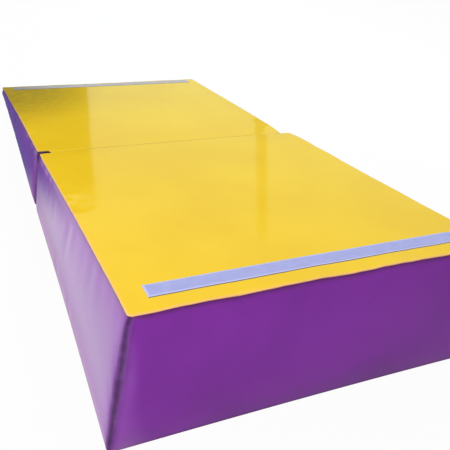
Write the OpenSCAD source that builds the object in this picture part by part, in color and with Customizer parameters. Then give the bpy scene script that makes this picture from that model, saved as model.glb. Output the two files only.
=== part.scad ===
// Folding slant board: two foam wedges in sewn vinyl covers, joined by a web of the top sheet, so that
// the low wedge folds over onto the high one and the two make a block. The origin is on the floor
// under the middle of the board. The high end is at -Y and the low end at +Y.

/* [Overall] */
// Width across the slope
board_w = 1000; // [600:10:1400]
// Length of the high wedge, from its end to the fold line
high_len = 1015; // [800:5:1300]
// Length of the low wedge, from the fold line to its end
low_len = 985; // [800:5:1300]
// Height of the high end
high_h = 420; // [380:5:560]
// Height of the low end
low_h = 35; // [32:1:60]

/* [Cover] */
// Thickness of the vinyl
cover_t = 1; // [0.6:0.1:1.6]

/* [Foam core] */
// Thickness of each glued slab, the topmost one being cut off by the slope
slab_t = 100; // [80:5:110]
// Thickness of the soft layer under the top sheet
soft_t = 22; // [10:1:25]
// Room between the foam and the cover
core_ease = 0.5; // [0.3:0.1:1.5]

/* [Fold hinge] */
// Gap between the two wedges at the fold line
fold_gap = 12; // [10:1:30]
// Length of the open slit at each end of the hinge web
slit_len = 42; // [10:1:120]

/* [Hook and loop] */
// Width of each strip, along the slope
strip_w = 50; // [20:1:100]
// Length of each strip
strip_len = 910; // [300:5:950]
// Thickness of each strip
strip_t = 2.4; // [1:0.1:4]
// Gap between the two strips when folded
strip_clear = 0.4; // [0.3:0.1:2]
// Distance of the strip on the shorter wedge from that wedge's end
strip_inset = 20; // [15:1:150]
// Distance of the loop strip off the middle, to the right
loop_shift = 15; // [-20:1:20]

/* [Zips] */
// Height of the zips above the floor
zip_z = 112; // [60:1:140]
// Width of the opening that each zip closes
zip_open = 14; // [12:1:20]
// Width of each tape, from the teeth outwards
tape_w = 14; // [11:1:20]
// Thickness of each tape
tape_t = 0.6; // [0.4:0.1:1]
// Width of each row of coil teeth
coil_w = 2.2; // [1.6:0.1:3]
// Thickness of each row of coil teeth
coil_t = 2; // [1.4:0.1:3]
// Gap between the two rows of teeth
coil_gap = 1.6; // [1.2:0.1:2.4]
// Distance of the ends of the teeth from the sides of the cover
stop_inset = 48; // [10:1:80]
// Length of each stop at the ends of the teeth
stop_len = 4; // [2:0.5:8]

/* [Zip sliders] */
// Length of a slider
slider_len = 14; // [10:0.5:20]
// Thickness of its front and back plates
plate_t = 1.1; // [0.8:0.1:1.6]
// Thickness of the lips that hold the teeth
lip_t = 0.9; // [0.6:0.1:1.4]
// Length of the post between the two rows of teeth
post_len = 4; // [2:0.5:6]
// Running clearance around the teeth and tapes
slider_clear = 0.25; // [0.2:0.05:0.4]
// Distance that a slider stops short of the stops
slider_rest_gap = 1; // [0.5:0.1:3]
// Length of the bare bridge on the front plate
bridge_len = 8; // [5:0.5:9]
// Height of the bridge
bridge_h = 1.8; // [1.2:0.1:2]
// Width of the bridge
bridge_w = 2; // [1:0.1:3]
// Thickness of the bridge
bridge_t = 0.7; // [0.5:0.1:0.9]

/* [Hidden] */

board_len = high_len + low_len;
half_w = board_w / 2;
fold_y = high_len - board_len / 2;
slope = (high_h - low_h) / board_len;
slope_angle = atan(slope);

// Lengthwise spans of the two wedges, from -Y to +Y
high_span = [-board_len / 2, fold_y - fold_gap / 2];
low_span = [fold_y + fold_gap / 2, board_len / 2];

// Crosswise spans
full_x = [-half_w, half_w];
left_x = [-half_w, -half_w + cover_t];
right_x = [half_w - cover_t, half_w];
core_x = [-half_w + cover_t + core_ease, half_w - cover_t - core_ease];
web_x = [-half_w + slit_len, half_w - slit_len];

// The zip's tapes and sliders stand this far into each wedge behind the cover
mid_room = tape_t + slider_clear + plate_t + core_ease;

// The core stops short of the outer end panel and, by more, of the panel with the zip
high_core_span = [high_span[0] + cover_t + core_ease, high_span[1] - cover_t - mid_room];
low_core_span = [low_span[0] + cover_t + mid_room, low_span[1] - cover_t - core_ease];

// Depths straight down from the outer top surface
skin_drop = upright(cover_t);
soft_drop = skin_drop + core_ease;
core_drop = soft_drop + upright(soft_t);

// The strips lie equally far from the fold line, so that they meet when the board is folded
loop_inset = strip_inset + max(0, high_len - low_len);
hook_inset = strip_inset + max(0, low_len - high_len);
strip_run = strip_w * cos(slope_angle);

coil_len = board_w - 2 * stop_inset;
tape_len = board_w - 2 * cover_t;
slider_w = coil_gap + 2 * (coil_w + slider_clear + lip_t);
slider_rest = (coil_len - slider_len) / 2 - slider_rest_gap;

vinyl_top = "gold";
vinyl_side = "rebeccapurple";
strip_colour = "lavender";
foam_colour = "ivory";
zip_colour = "dimgray";

// Height of the outer top surface
function top_z(y) = high_h - slope * (y + board_len / 2);

// Straight-down depth of a layer that is this thick square to the slope
function upright(t) = t / cos(slope_angle);

// Outline in Y and Z, drawn out along X
module across(x_span, points) {
    translate([x_span[0], 0, 0])
        rotate([90, 0, 90])
            linear_extrude(x_span[1] - x_span[0])
                polygon(points);
}

// Solid from a level base up to a given depth below the outer top surface
module wedge(x_span, y_span, base, drop) {
    across(x_span, [
        [y_span[0], base],
        [y_span[1], base],
        [y_span[1], top_z(y_span[1]) - drop],
        [y_span[0], top_z(y_span[0]) - drop]
    ]);
}

// Layer that follows the slope, between two heights above the outer top surface
module slope_layer(x_span, y_span, rise_from, rise_to) {
    across(x_span, [
        [y_span[0], top_z(y_span[0]) + rise_from],
        [y_span[1], top_z(y_span[1]) + rise_from],
        [y_span[1], top_z(y_span[1]) + rise_to],
        [y_span[0], top_z(y_span[0]) + rise_to]
    ]);
}

// One glued slab of a core, counted from the floor up, the last one taking all that is left
module core_slab(y_span, number, count) {
    base = cover_t + (number - 1) * slab_t;
    rise = number == count ? high_h : slab_t;
    color(foam_colour)
        intersection() {
            wedge(core_x, y_span, cover_t, core_drop);
            translate([core_x[0], y_span[0], base])
                cube([core_x[1] - core_x[0], y_span[1] - y_span[0], rise]);
        }
}

module soft_layer(y_span) {
    color(foam_colour)
        slope_layer(core_x, y_span, -core_drop, -soft_drop);
}

module top_panel(y_span) {
    color(vinyl_top)
        slope_layer(full_x, y_span, -skin_drop, 0);
}

module bottom_panel(y_span) {
    color(vinyl_side)
        translate([full_x[0], y_span[0], 0])
            cube([board_w, y_span[1] - y_span[0], cover_t]);
}

// Side panels stand between the end panel and the panel with the zip
module side_panel(x_span, y_span) {
    color(vinyl_side)
        wedge(x_span, [y_span[0] + cover_t, y_span[1] - cover_t], cover_t, skin_drop);
}

// Upright panel across the full width, from a level base to the top panel
module cross_panel(y_from, base) {
    color(vinyl_side)
        wedge(full_x, [y_from, y_from + cover_t], base, skin_drop);
}

// Strip below the zip, from the bottom panel up to the opening
module lower_mid_panel(y_from) {
    color(vinyl_side)
        translate([full_x[0], y_from, cover_t])
            cube([board_w, cover_t, zip_z - zip_open / 2 - cover_t]);
}

module grip_strip(middle_x, y_from) {
    color(strip_colour)
        slope_layer(
            [middle_x - strip_len / 2, middle_x + strip_len / 2],
            [y_from, y_from + strip_run],
            0, upright(strip_t)
        );
}

// Zip parts are drawn facing +Y, with the outer face of the cover at y = 0, and turned to their wedge
module on_high_mid() {
    translate([0, high_span[1], zip_z]) children();
}

module on_low_mid() {
    translate([0, low_span[0], zip_z]) rotate(180) children();
}

// The upper tape and row of teeth as drawn, or the lower ones as their mirror image
module row(upper) {
    mirror([0, 0, upper ? 0 : 1]) children();
}

module zip_tape(upper) {
    color(zip_colour)
        row(upper)
            translate([-tape_len / 2, -cover_t - tape_t, coil_gap / 2])
                cube([tape_len, tape_t, tape_w]);
}

module zip_coil(upper) {
    color(zip_colour)
        row(upper)
            translate([-coil_len / 2, -cover_t, coil_gap / 2])
                cube([coil_len, coil_t, coil_w]);
}

// Two stops at the closed end, one for each row, and one broad stop across both rows at the other end
module zip_stops() {
    color(zip_colour) {
        for (upper = [true, false])
            row(upper)
                translate([coil_len / 2, -cover_t, coil_gap / 2])
                    cube([stop_len, coil_t, coil_w]);
        translate([-coil_len / 2 - stop_len, -cover_t, -coil_gap / 2 - coil_w])
            cube([stop_len, coil_t, coil_gap + 2 * coil_w]);
    }
}

// Front and back plates joined by a post between the rows, with lips outside the rows and a bridge
module zip_slider() {
    front = coil_t - cover_t + slider_clear;
    back = -cover_t - tape_t - slider_clear;
    post_w = coil_gap - 2 * slider_clear;
    color(zip_colour)
        translate([slider_rest, 0, 0]) {
            for (y = [back - plate_t, front])
                translate([-slider_len / 2, y, -slider_w / 2])
                    cube([slider_len, plate_t, slider_w]);
            translate([slider_len / 2 - post_len, back - plate_t / 2, -post_w / 2])
                cube([post_len, front - back + plate_t, post_w]);
            for (upper = [true, false])
                row(upper)
                    translate([-slider_len / 2, slider_clear - cover_t, slider_w / 2 - lip_t])
                        cube([slider_len, front - slider_clear + cover_t + plate_t, lip_t]);
            translate([-bridge_len / 2, front + plate_t / 2, -bridge_w / 2])
                difference() {
                    cube([bridge_len, plate_t / 2 + bridge_h, bridge_w]);
                    translate([bridge_t, plate_t / 2, -bridge_w / 2])
                        cube([bridge_len - 2 * bridge_t, bridge_h - bridge_t, 2 * bridge_w]);
                }
        }
}

// Web of the top sheet across the fold line, open at both ends
module hinge_web() {
    color(vinyl_top)
        slope_layer(web_x, [high_span[1], low_span[0]], -skin_drop, 0);
}

core_slab(high_core_span, 1, 4);  // high_core_slab_1
core_slab(high_core_span, 2, 4);  // high_core_slab_2
core_slab(high_core_span, 3, 4);  // high_core_slab_3
core_slab(high_core_span, 4, 4);  // high_core_slab_4
soft_layer(high_core_span);  // high_top_layer
top_panel(high_span);  // high_top_panel
side_panel(left_x, high_span);  // high_left_panel
side_panel(right_x, high_span);  // high_right_panel
cross_panel(high_span[0], cover_t);  // high_end_panel
bottom_panel(high_span);  // high_bottom_panel
cross_panel(high_span[1] - cover_t, zip_z + zip_open / 2);  // high_mid_panel_upper
lower_mid_panel(high_span[1] - cover_t);  // high_mid_panel_lower
grip_strip(loop_shift, high_span[0] + loop_inset);  // loop_strip
hinge_web();
on_high_mid() zip_tape(true);  // high_zip_tape_upper
on_high_mid() zip_tape(false);  // high_zip_tape_lower
on_high_mid() zip_coil(true);  // high_zip_coil_upper
on_high_mid() zip_coil(false);  // high_zip_coil_lower
on_high_mid() zip_stops();  // high_zip_stops
on_high_mid() zip_slider();  // high_zip_slider
core_slab(low_core_span, 1, 2);  // low_core_slab_1
core_slab(low_core_span, 2, 2);  // low_core_slab_2
soft_layer(low_core_span);  // low_top_layer
top_panel(low_span);  // low_top_panel
side_panel(left_x, low_span);  // low_left_panel
side_panel(right_x, low_span);  // low_right_panel
cross_panel(low_span[1] - cover_t, cover_t);  // low_end_panel
bottom_panel(low_span);  // low_bottom_panel
cross_panel(low_span[0], zip_z + zip_open / 2);  // low_mid_panel_upper
lower_mid_panel(low_span[0]);  // low_mid_panel_lower
grip_strip(0, low_span[1] - hook_inset - strip_run);  // hook_strip
on_low_mid() zip_tape(true);  // low_zip_tape_upper
on_low_mid() zip_tape(false);  // low_zip_tape_lower
on_low_mid() zip_coil(true);  // low_zip_coil_upper
on_low_mid() zip_coil(false);  // low_zip_coil_lower
on_low_mid() zip_stops();  // low_zip_stops
on_low_mid() zip_slider();  // low_zip_slider
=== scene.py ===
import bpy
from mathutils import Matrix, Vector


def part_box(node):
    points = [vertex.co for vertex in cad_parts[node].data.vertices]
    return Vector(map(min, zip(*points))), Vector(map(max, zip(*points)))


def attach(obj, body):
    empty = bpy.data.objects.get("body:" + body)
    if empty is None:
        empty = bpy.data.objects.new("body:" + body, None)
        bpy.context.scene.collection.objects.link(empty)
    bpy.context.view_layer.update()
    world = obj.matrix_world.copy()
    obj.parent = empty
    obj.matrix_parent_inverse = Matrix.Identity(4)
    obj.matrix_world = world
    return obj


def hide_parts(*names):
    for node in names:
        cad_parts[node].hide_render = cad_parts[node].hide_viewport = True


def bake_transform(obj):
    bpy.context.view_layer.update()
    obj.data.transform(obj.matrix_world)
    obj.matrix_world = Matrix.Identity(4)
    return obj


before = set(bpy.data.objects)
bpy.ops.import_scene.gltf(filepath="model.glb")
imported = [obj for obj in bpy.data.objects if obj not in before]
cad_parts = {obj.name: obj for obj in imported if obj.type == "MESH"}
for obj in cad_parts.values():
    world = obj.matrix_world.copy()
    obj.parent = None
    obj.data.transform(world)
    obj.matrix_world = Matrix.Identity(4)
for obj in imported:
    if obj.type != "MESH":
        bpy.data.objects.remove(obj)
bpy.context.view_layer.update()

from math import copysign, cos, exp, hypot, pi, radians, sin, tanh
import bpy
import bmesh
from mathutils import Vector, noise

scene = bpy.context.scene
scene.view_settings.view_transform = "Standard"

# camera, set up for a square picture
cameraSet = {
    "place": (-0.8151, -1.8480, 1.2984),
    "turn": (59.0115, -6.8769, -22.114),  # degrees
    "lens": 49.324,
    "shift": (0.0670, -0.1100),
}


def makeCamera():
    data = bpy.data.cameras.new("camera")
    data.lens = cameraSet["lens"]
    data.shift_x, data.shift_y = cameraSet["shift"]
    cam = bpy.data.objects.new("camera", data)
    cam.location = cameraSet["place"]
    cam.rotation_euler = [radians(a) for a in cameraSet["turn"]]
    scene.collection.objects.link(cam)
    scene.camera = cam


makeCamera()

# sizes that every piece follows, read off the frame
highTop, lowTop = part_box("high_top_panel"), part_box("low_top_panel")
halfWidth = highTop[1].x
highEnd, lowEnd = highTop[0].y, lowTop[1].y
highMid, lowMid = highTop[1].y, lowTop[0].y
foldLine = (highMid + lowMid) / 2
slope = (highTop[1].z - lowTop[1].z) / (lowMid - highEnd)
slopeUp = Vector((0, slope, 1)).normalized()
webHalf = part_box("hinge_web")[1].x
# toMid is the way along y from a wedge's outer end to the fold
wedges = {
    "high": {"outer": highEnd, "mid": highMid, "toMid": 1, "body": "high_wedge"},
    "low": {"outer": lowEnd, "mid": lowMid, "toMid": -1, "body": "low_wedge"},
}

# how the sewn cover rounds off and gives, shared by all its panels
coverForm = {
    "endCorner": 0.012,  # plan corners at the top seam
    "foldCorner": 0.010,
    "bellyCorner": 0.013,  # upright corners half way down, where the foam rounds off
    "footCorner": 0.013,
    "foldBelly": 0.018,
    "foldFoot": 0.0135,
    "bottomRound": 0.010,
    "lean": 0.0626,  # the sides splay out towards the floor, per metre of height
    "endLean": 0.0264,
    "pull": 0.0035,  # how far a side draws in between its corners
    "foldPull": {"high": 0.009, "low": 0.004},  # and at the fold, where the sheet holds it
    "foldReach": 0.055,
    "lowTuck": {"end": 0.011, "fold": 0.041},  # the low block's right top edge sits in from the high one's
    "foldDip": 0.004,  # the right top corners sag at the fold
    "dipReach": 0.035,
    "crown": 0.0012,
    "wave": 0.0005,
    "waveSize": 0.23,
    "ripple": {"end": 0.0036, "left": 0.0022, "right": 0.0012, "low": 0.0012},  # along each sewn edge
    "rippleSizes": (0.09, 0.035),  # broad and fine
    "rippleReach": 0.03,
    "rippleFrom": (0.01, 0.12),  # none at the fold
    # shares of the wall's height from which the top, the tuck and the dip take hold
    "topFrom": 0.45, "tuckFrom": 0.3, "dipFrom": 0.6,
    # the fold's pull: share lost at the top, share left at the foot, and where the wall is past its foot
    "heldLoss": 0.65, "heldFoot": 0.3, "heldRise": 0.4,
    "thinnest": 0.02,  # a wall counts as no lower than this
    "hem": 0.02,  # added to a panel's flat size
    "slitFrom": 0.003,  # the slits start this far inside the hinge's ends
    "slitColumns": (0.004, 0.002),  # start and spacing of the finer columns there
    "thickness": 0.0012,
    "step": 0.0125,
}


def slopeHeight(y):
    return highTop[1].z - slope * (y - highEnd)


def upWall(y, z):
    return z / max(coverForm["thinnest"], slopeHeight(y))


def smooth(low, high, value):
    t = min(1, max(0, (value - low) / (high - low)))
    return t * t * (3 - 2 * t)


def bell(gap, reach):
    return exp(-(gap / reach) ** 2)


def cloud(x, y, layer, size=1):
    return noise.noise(Vector((x / size, y / size, layer)))


def wedgeAt(y):
    return wedges["high" if y < foldLine else "low"]


def alongWedge(y):
    wedge = wedgeAt(y)
    return min(1, max(0, (y - wedge["outer"]) / (wedge["mid"] - wedge["outer"])))


# how far y is from the open gap at the fold
def foldGap(y):
    return max(0, abs(y - foldLine) - (lowMid - foldLine))


# crown and slack of the top, above the flat slope
def topRise(x, y):
    across = min(1, abs(x) / halfWidth)
    along = alongWedge(y)
    rise = coverForm["crown"] * (1 - across ** 4) * (1 - abs(2 * along - 1) ** 4)
    rise += coverForm["wave"] * cloud(x, y, 3.1, coverForm["waveSize"])
    broad, fine = coverForm["rippleSizes"]
    ripple = cloud(x, y, 7.7, broad) + 0.5 * cloud(x, y, 2.2, fine)
    ripple *= smooth(*coverForm["rippleFrom"], abs(y - foldLine))
    gaps = {"end": y - highEnd, "left": x + halfWidth, "right": halfWidth - x, "low": lowEnd - y}
    reach = coverForm["rippleReach"]
    lift = max(coverForm["ripple"][key] * exp(-max(0, gap) / reach) for key, gap in gaps.items())
    return rise + lift * ripple


def lowTuck(x, y, z):
    share = smooth(coverForm["tuckFrom"], 1, upWall(y, z)) * smooth(highMid, lowMid, y)
    tuck = coverForm["lowTuck"]
    amount = tuck["end"] + (tuck["fold"] - tuck["end"]) * alongWedge(y) ** 2
    return amount * share * max(0, x / halfWidth) ** 4


def foldDip(x, y, z):
    share = smooth(coverForm["dipFrom"], 1, upWall(y, z)) * max(0, x / halfWidth) ** 10
    return coverForm["foldDip"] * share * exp(-(foldGap(y) / coverForm["dipReach"]) ** 1.3)


# the same give for all the panels of a cover, so their seams still meet
def settle(x, y, z):
    along = alongWedge(y)
    draw = coverForm["pull"] * sin(pi * along)
    endDraw = coverForm["pull"] * (1 - min(1, abs(x) / halfWidth) ** 2) * (1 - along) ** 6
    share = smooth(coverForm["topFrom"], 1, upWall(y, z))
    foldPull = coverForm["foldPull"]
    held = foldPull["high"] + (foldPull["low"] - foldPull["high"]) * smooth(highMid, lowMid, y)
    held *= exp(-(foldGap(y) / coverForm["foldReach"]) ** 1.4)
    foot = coverForm["heldFoot"]
    held *= 1 - coverForm["heldLoss"] * share
    held *= foot + (1 - foot) * smooth(0, coverForm["heldRise"], upWall(y, z))
    below = max(0, slopeHeight(y) - z)
    held += lowTuck(x, y, z)
    draw = (draw + held - coverForm["lean"] * below) / halfWidth
    endDraw -= coverForm["endLean"] * below * (1 - along) ** 8
    rise = share * topRise(x, y) - foldDip(x, y, z)
    return Vector((x * (1 - draw), y + wedgeAt(y)["toMid"] * endDraw, z + rise))


# mesh helpers
def newPiece(name, bm, material):
    mesh = bpy.data.meshes.new(name)
    bm.to_mesh(mesh)
    bm.free()
    mesh.shade_smooth()
    mesh.materials.append(material)
    piece = bpy.data.objects.new(name, mesh)
    scene.collection.objects.link(piece)
    return piece


# ties a piece to its body and hides the nodes that it stands for
def fitPiece(piece, body, slot, *nodes):
    if nodes:
        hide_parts(*nodes)
    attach(piece, body)


# quads between rows of points; each point has its place, its seam (1 at a sewn edge)
# and its painted darkening (1 at its darkest): painted shade, and darker upright corners
def addRows(bm, rows, flip=False):
    layers = [bm.verts.layers.float.get(key) or bm.verts.layers.float.new(key) for key in ("seam", "paintedDark")]
    made = []
    for row in rows:
        line = []
        for place, *values in row:
            vert = bm.verts.new(place)
            for layer, value in zip(layers, values):
                vert[layer] = value
            line.append(vert)
        made.append(line)
    for a, b in zip(made, made[1:]):
        for i in range(len(a) - 1):
            corners = (a[i], a[i + 1], b[i + 1], b[i])
            bm.faces.new(corners[::-1] if flip else corners)


# skin over rings of points, closed at both ends
def addTube(bm, rings):
    made = [[bm.verts.new(place) for place in ring] for ring in rings]
    for a, b in zip(made, made[1:]):
        for i in range(len(a)):
            k = (i + 1) % len(a)
            bm.faces.new((a[i], b[i], b[k], a[k]))
    bm.faces.new(made[0])
    bm.faces.new(made[-1][::-1])


def thicken(piece, thickness):
    solid = piece.modifiers.new("thickness", "SOLIDIFY")
    solid.thickness = thickness
    solid.offset = -1
    graph = bpy.context.evaluated_depsgraph_get()
    mesh = bpy.data.meshes.new_from_object(piece.evaluated_get(graph))
    piece.modifiers.clear()
    piece.data = mesh
    mesh.shade_smooth()


# a sheet of cloth with its thickness
def sheetPiece(name, rows, flip, finish, thickness):
    bm = bmesh.new()
    addRows(bm, rows, flip)
    piece = newPiece(name, bm, finishes[finish])
    thicken(piece, thickness)
    return piece


def spread(start, stop, step):
    count = max(1, round(abs(stop - start) / step))
    return [start + (stop - start) * i / count for i in range(count + 1)]


# sorted, without those that stand too close together
def tidyList(values, least=0.0006):
    kept = []
    for value in sorted(values):
        if not kept or value - kept[-1] > least:
            kept.append(value)
    return kept


# extra columns where the slits open
def slitColumns(count):
    lead, step = coverForm["slitColumns"]
    return [s * (webHalf - lead + step * i) for i in range(count) for s in (-1, 1)]


# the underside of a sewn edge: a quarter turn up from the floor, as offset and height
def footTurn(radius, steps):
    turns = [pi / 2 * i / steps for i in range(steps)]
    return [(-radius + radius * sin(turn), radius * (1 - cos(turn))) for turn in turns]


# node helpers and shared shader groups; all their sockets are plain values
def shaderGroup(name, inputs, outputs):
    group = bpy.data.node_groups.new(name, "ShaderNodeTree")
    for label, value in inputs.items():
        socket = group.interface.new_socket(label, in_out="INPUT", socket_type="NodeSocketFloat")
        socket.default_value = value
    for label in outputs:
        group.interface.new_socket(label, in_out="OUTPUT", socket_type="NodeSocketFloat")
    desk = NodeDesk(group)
    return group, desk, desk.add("NodeGroupInput").outputs, desk.add("NodeGroupOutput").inputs


class NodeDesk:
    def __init__(self, tree):
        self.tree = tree

    def add(self, kind, inputs=None, **settings):
        node = self.tree.nodes.new(kind)
        for key, value in settings.items():
            setattr(node, key, value)
        for key, value in (inputs or {}).items():
            self.feed(node.inputs[key], value)
        return node

    def feed(self, socket, value):
        if isinstance(value, bpy.types.NodeSocket):
            self.tree.links.new(value, socket)
        else:
            socket.default_value = value

    def math(self, operation, a, b=0.0, clamp=False):
        node = self.add("ShaderNodeMath", {0: a, 1: b}, operation=operation, use_clamp=clamp)
        return node.outputs[0]

    # a times factor, plus rest
    def scaled(self, a, factor, rest, clamp=False):
        return self.math("ADD", self.math("MULTIPLY", a, factor), rest, clamp)

    def mix(self, factor, a, b):
        return self.add("ShaderNodeMix", {0: factor, 6: a, 7: b}, data_type="RGBA").outputs[2]

    def ramp(self, value, low, high):
        node = self.add("ShaderNodeMapRange", {0: value, 1: low, 2: high}, interpolation_type="SMOOTHSTEP")
        return node.outputs[0]

    def place(self):
        return self.add("ShaderNodeTexCoord").outputs["Object"]

    def noise(self, place, scale, detail, distortion=0.0):
        inputs = {"Vector": place, "Scale": scale, "Detail": detail, "Distortion": distortion}
        return self.add("ShaderNodeTexNoise", inputs).outputs["Fac"]

    def cells(self, place, scale, feature="F1"):
        node = self.add("ShaderNodeTexVoronoi", {"Vector": place, "Scale": scale}, feature=feature)
        return node.outputs["Distance"]

    def wave(self, place, direction):
        inputs = {"Vector": place, "Scale": 96.0, "Distortion": 0.6}
        return self.add("ShaderNodeTexWave", inputs, bands_direction=direction).outputs["Fac"]

    # a value painted on the mesh's points
    def painted(self, name):
        return self.add("ShaderNodeAttribute", attribute_name=name).outputs["Fac"]

    def group(self, tree, values):
        return self.add("ShaderNodeGroup", values, node_tree=tree).outputs


# calendered vinyl on a knitted backing: fine grain, soft orange peel, faint scrim lines, rub marks
def makeVinylGrain():
    group, desk, given, out = shaderGroup(
        "vinylGrain",
        {"Grain": 0.35, "Peel": 0.6, "Scrim": 0.2, "Rough": 0.2, "Rub": 0.1},
        ("Height", "Roughness", "Shade"),
    )
    place = desk.place()
    scrim = desk.math("MULTIPLY", desk.wave(place, "X"), desk.wave(place, "Y"))
    height = desk.math("MULTIPLY", desk.cells(place, 820.0, "SMOOTH_F1"), given["Grain"])
    height = desk.scaled(desk.noise(place, 95.0, 2.0), given["Peel"], height)
    desk.feed(out["Height"], desk.scaled(scrim, given["Scrim"], height))
    # rub marks are long thin clouds, stretched along the slope
    stretch = desk.add("ShaderNodeMapping", {"Vector": place, "Scale": (9.0, 2.2, 9.0)})
    rub = desk.ramp(desk.noise(stretch.outputs[0], 2.4, 6.0), 0.52, 0.72)
    fine = desk.noise(place, 310.0, 3.0)
    rough = desk.scaled(rub, given["Rub"], given["Rough"])
    rough = desk.scaled(desk.math("SUBTRACT", fine, 0.5), 0.12, rough, clamp=True)
    desk.feed(out["Roughness"], rough)
    wide = desk.noise(place, 3.1, 3.0)
    desk.feed(out["Shade"], desk.scaled(wide, 0.7, desk.math("MULTIPLY", fine, 0.3)))
    return group


# patchy mask for colour painted along the sewn edges and into shaded places: painted highlight, painted
# shade and darker corners; Seam is painted on the mesh
def makePaintedMask():
    group, desk, given, out = shaderGroup("paintedMask", {"Seam": 0.0, "Amount": 0.5}, ("Mask",))
    broken = desk.scaled(desk.noise(desk.place(), 38.0, 5.0), 0.7, 0.35)
    mask = desk.math("MULTIPLY", desk.math("POWER", given["Seam"], 2.0), broken)
    desk.feed(out["Mask"], desk.math("MULTIPLY", mask, given["Amount"], clamp=True))
    return group


# plain woven tape, threads along X and across
def makeTapeWeave():
    group, desk, given, out = shaderGroup("tapeWeave", {"Pitch": 900.0}, ("Height", "Thread"))
    place = desk.place()
    at = desk.add("ShaderNodeSeparateXYZ", {"Vector": place}).outputs
    waves = []
    for way in (at[0], desk.math("ADD", at[1], at[2])):
        turns = desk.math("MULTIPLY", way, given["Pitch"])
        waves.append(desk.math("SINE", desk.math("MULTIPLY", turns, 2 * pi)))
    checks = desk.math("MULTIPLY", *waves)
    desk.feed(out["Height"], desk.scaled(checks, 0.35, desk.noise(place, 700.0, 2.0)))
    desk.feed(out["Thread"], desk.scaled(checks, 0.25, 0.5))
    return group


vinylGrain = makeVinylGrain()
paintedMask = makePaintedMask()
tapeWeave = makeTapeWeave()


def newMaterial(name):
    material = bpy.data.materials.new(name)
    material.use_nodes = True
    desk = NodeDesk(material.node_tree)
    return material, desk, material.node_tree.nodes["Principled BSDF"]


# sets or links the shader's sockets, and bumps it
def dress(desk, shader, inputs, height, strength, distance):
    bump = desk.add("ShaderNodeBump", {"Height": height, "Strength": strength, "Distance": distance})
    for key, value in inputs.items():
        desk.feed(shader.inputs[key], value)
    desk.feed(shader.inputs["Normal"], bump.outputs[0])


vinylLooks = {
    "topVinyl": {
        "light": (0.874, 0.554, 0.017, 1), "deep": (0.830, 0.508, 0.013, 1),
        # the edge colour is a painted highlight along the rolled seam; the dark tone is painted shade
        "edge": (0.90, 0.44, 0.20, 1), "seamLightAndShade": 0.95, "darkTone": (0.046, 0.056, 0.012, 1), "paintedDark": 0.5,
        "coat": 0.0, "gloss": 0.35, "dull": 0.12, "bump": 0.07,
        "skin": {"Grain": 0.08, "Peel": 0.5, "Scrim": 0.10, "Rough": 0.075, "Rub": 0.04},
    },
    "sideVinyl": {
        "light": (0.222, 0.021, 0.372, 1), "deep": (0.181, 0.017, 0.308, 1),
        # the edge colour is painted shade along the seams, partly a real dark seam line; the dark tone is
        # painted shade in the fold and slits, and darker upright corners
        "edge": (0.060, 0.007, 0.050, 1), "seamLightAndShade": 0.9, "darkTone": (0.040, 0.003, 0.072, 1), "paintedDark": 1.7,
        "coat": 0.44, "gloss": 0.44, "dull": 0.40, "bump": 0.06,
        "skin": {"Grain": 0.06, "Peel": 0.4, "Scrim": 0.08, "Rough": 0.18, "Rub": 0.02},
    },
}


def makeVinyl(name, look):
    material, desk, shader = newMaterial(name)
    skin = desk.group(vinylGrain, look["skin"])
    # painted highlight along the yellow's rolled seam, painted shade along the purple's seams; then the
    # dark tone: painted shade, and darker upright corners
    seamLightAndShade = desk.group(paintedMask, {"Seam": desk.painted("seam"), "Amount": look["seamLightAndShade"]})["Mask"]
    darkened = desk.group(paintedMask, {"Seam": desk.painted("paintedDark"), "Amount": look["paintedDark"]})["Mask"]
    base = desk.mix(desk.ramp(skin["Shade"], 0.36, 0.64), look["deep"], look["light"])
    base = desk.mix(seamLightAndShade, base, look["edge"])
    dress(desk, shader, {
        "Base Color": desk.mix(darkened, base, look["darkTone"]),
        "Roughness": desk.scaled(darkened, look["dull"], skin["Roughness"], clamp=True),
        "Specular IOR Level": look["gloss"],
    }, skin["Height"], look["bump"], 0.0006)
    if look["coat"]:
        # no coat shine where it is darkened by painted shade and the darker upright corners
        clean = desk.math("SUBTRACT", 1.0, darkened)
        desk.feed(shader.inputs["Coat Weight"], desk.math("MULTIPLY", clean, look["coat"]))
        shader.inputs["Coat Roughness"].default_value = 0.12
    return material


stripLooks = {
    "loopTape": {
        "pile": (0.38, 0.385, 0.73, 1), "shade": (0.295, 0.30, 0.63, 1), "edge": (0.455, 0.47, 0.76, 1),
        "stripShade": (0.10, 0.08, 0.08, 1), "scale": 620.0, "bump": 0.55,
    },
    "hookTape": {
        "pile": (0.44, 0.42, 0.46, 1), "shade": (0.34, 0.32, 0.38, 1), "edge": (0.47, 0.45, 0.48, 1),
        "stripShade": (0.10, 0.08, 0.08, 1), "scale": 760.0, "bump": 0.75,
    },
}


def makeStripTape(name, look):
    material, desk, shader = newMaterial(name)
    place = desk.place()
    tufts = desk.cells(place, look["scale"])
    fuzz = desk.noise(place, 1500.0, 3.0)
    patch = desk.math("MULTIPLY", desk.noise(place, 42.0, 4.0), 0.6)
    weave = desk.group(tapeWeave, {"Pitch": 700.0})
    seam = desk.painted("seam")
    # painted shadow along the lifted cut edge, and painted shade towards the hook strip's left end
    stripShade = desk.group(paintedMask, {"Seam": desk.painted("paintedDark"), "Amount": 1.0})["Mask"]
    tint = desk.ramp(desk.scaled(tufts, 0.55, patch, clamp=True), 0.25, 0.85)
    tape = desk.mix(seam, desk.mix(tint, look["pile"], look["shade"]), look["edge"])
    # pile in the middle, plain weave along the border
    pile = desk.math("MULTIPLY", desk.scaled(tufts, -1.0, fuzz), desk.math("SUBTRACT", 1.0, seam))
    height = desk.scaled(desk.math("MULTIPLY", weave["Height"], 0.6), seam, pile)
    dress(desk, shader, {
        "Base Color": desk.mix(stripShade, tape, look["stripShade"]),
        "Roughness": desk.scaled(fuzz, 0.25, 0.62),
        "Sheen Weight": 0.25,
    }, height, look["bump"], 0.0009)
    return material


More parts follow.
